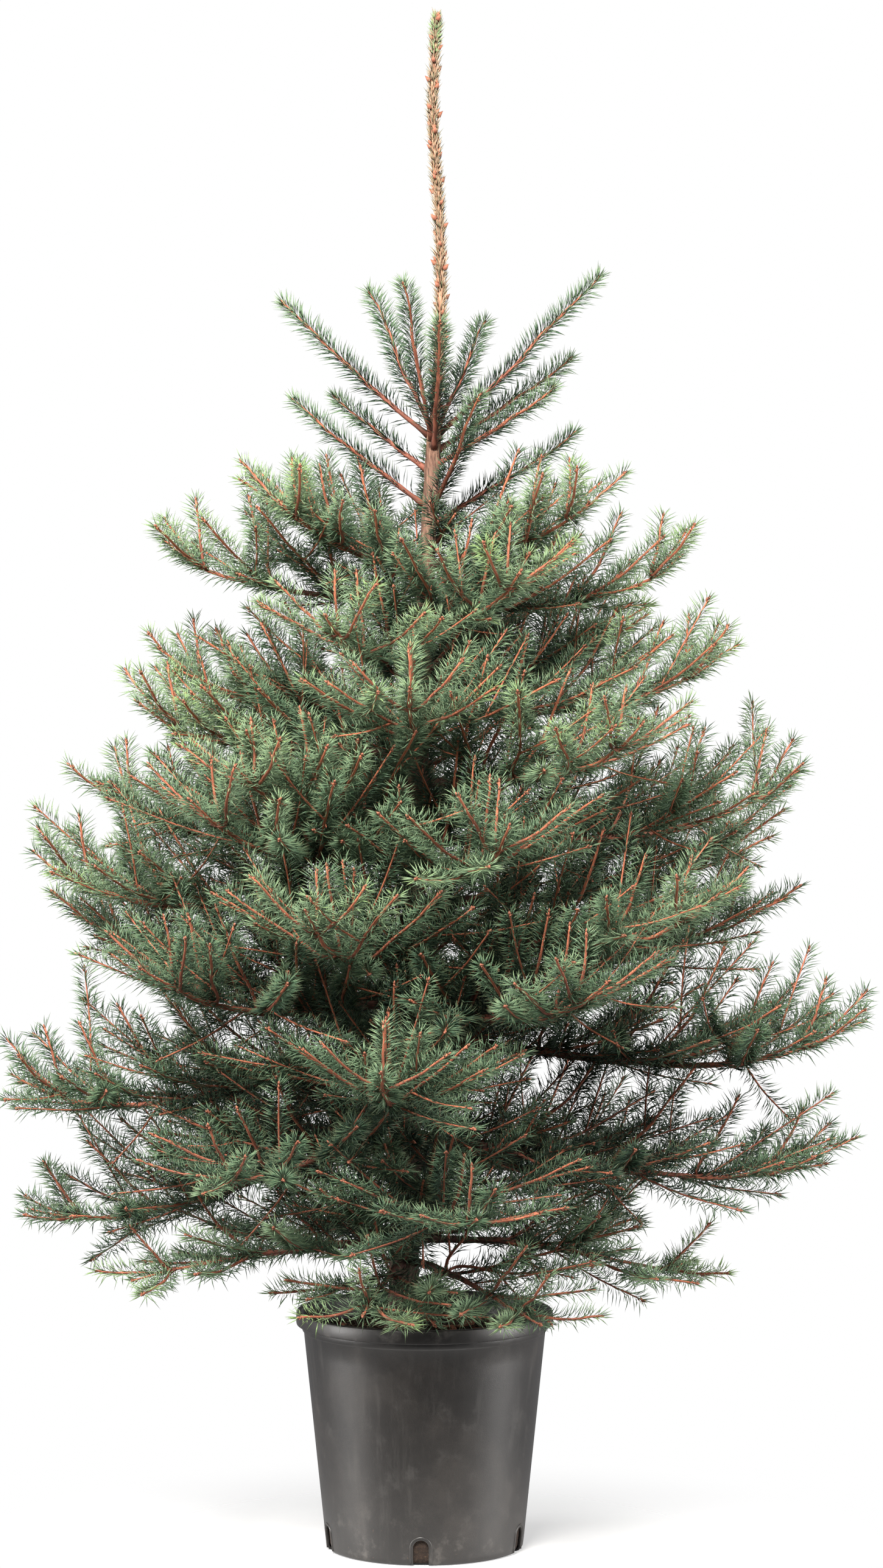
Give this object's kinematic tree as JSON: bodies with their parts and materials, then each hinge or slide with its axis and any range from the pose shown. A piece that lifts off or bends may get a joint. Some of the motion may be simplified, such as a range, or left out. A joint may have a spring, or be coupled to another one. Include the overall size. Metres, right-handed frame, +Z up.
{
  "type": "potted spruce",
  "caption": "Young container-grown spruce with a bare leader and a broad cone of needled branches, standing in a tapered black nursery pot of compost.",
  "frame": {"origin": "centre of the pot's flat foot, on the surface it stands on", "axes": "+Z up along the stem, +X the plant's right seen from the front, -Y the front"},
  "size_m": [0.9989, 0.8844, 1.7858],
  "materials": {
    "pot_plastic": "moulded satin, dusty and lightly scuffed",
    "compost": "moist crumbly peat and bark",
    "bark": "scaly reddish-brown bark",
    "foliage": "orange-brown twigs with dense blue-green needles"
  },
  "bodies": {
    "root": {"branch_crown_01": "foliage", "branch_crown_02": "foliage", "branch_crown_03": "foliage", "branch_crown_04": "foliage", "branch_crown_05": "foliage", "branch_crown_06": "foliage", "branch_crown_07": "foliage", "branch_crown_08": "foliage", "branch_crown_09": "foliage", "branch_crown_10": "foliage", "branch_crown_11": "foliage", "branch_crown_12": "foliage", "branch_crown_13": "foliage", "branch_tier_1_01": "foliage", "branch_tier_1_02": "foliage", "branch_tier_1_03": "foliage", "branch_tier_1_04": "foliage", "branch_tier_1_05": "foliage", "branch_tier_1_06": "foliage", "branch_tier_1_07": "foliage", "branch_tier_1_08": "foliage", "branch_tier_2_01": "foliage", "branch_tier_2_02": "foliage", "branch_tier_2_03": "foliage", "branch_tier_2_04": "foliage", "branch_tier_2_05": "foliage", "branch_tier_2_06": "foliage", "branch_tier_2_07": "foliage", "branch_tier_2_08": "foliage", "branch_tier_3_01": "foliage", "branch_tier_3_02": "foliage", "branch_tier_3_03": "foliage", "branch_tier_3_04": "foliage", "branch_tier_3_05": "foliage", "branch_tier_3_06": "foliage", "branch_tier_3_07": "foliage", "branch_tier_3_08": "foliage", "branch_tier_3_09": "foliage", "branch_tier_4_01": "foliage", "branch_tier_4_02": "foliage", "branch_tier_4_03": "foliage", "branch_tier_4_04": "foliage", "branch_tier_4_05": "foliage", "branch_tier_4_06": "foliage", "branch_tier_4_07": "foliage", "branch_tier_4_08": "foliage", "branch_tier_5_01": "foliage", "branch_tier_5_02": "foliage", "branch_tier_5_03": "foliage", "branch_tier_5_04": "foliage", "branch_tier_5_05": "foliage", "branch_tier_5_06": "foliage", "branch_tier_6_01": "foliage", "branch_tier_6_02": "foliage", "branch_tier_6_03": "foliage", "branch_tier_6_04": "foliage", "branch_tier_6_05": "foliage", "pot": "pot_plastic", "soil": "compost", "trunk": "bark"}
  },
  "joints": []
}
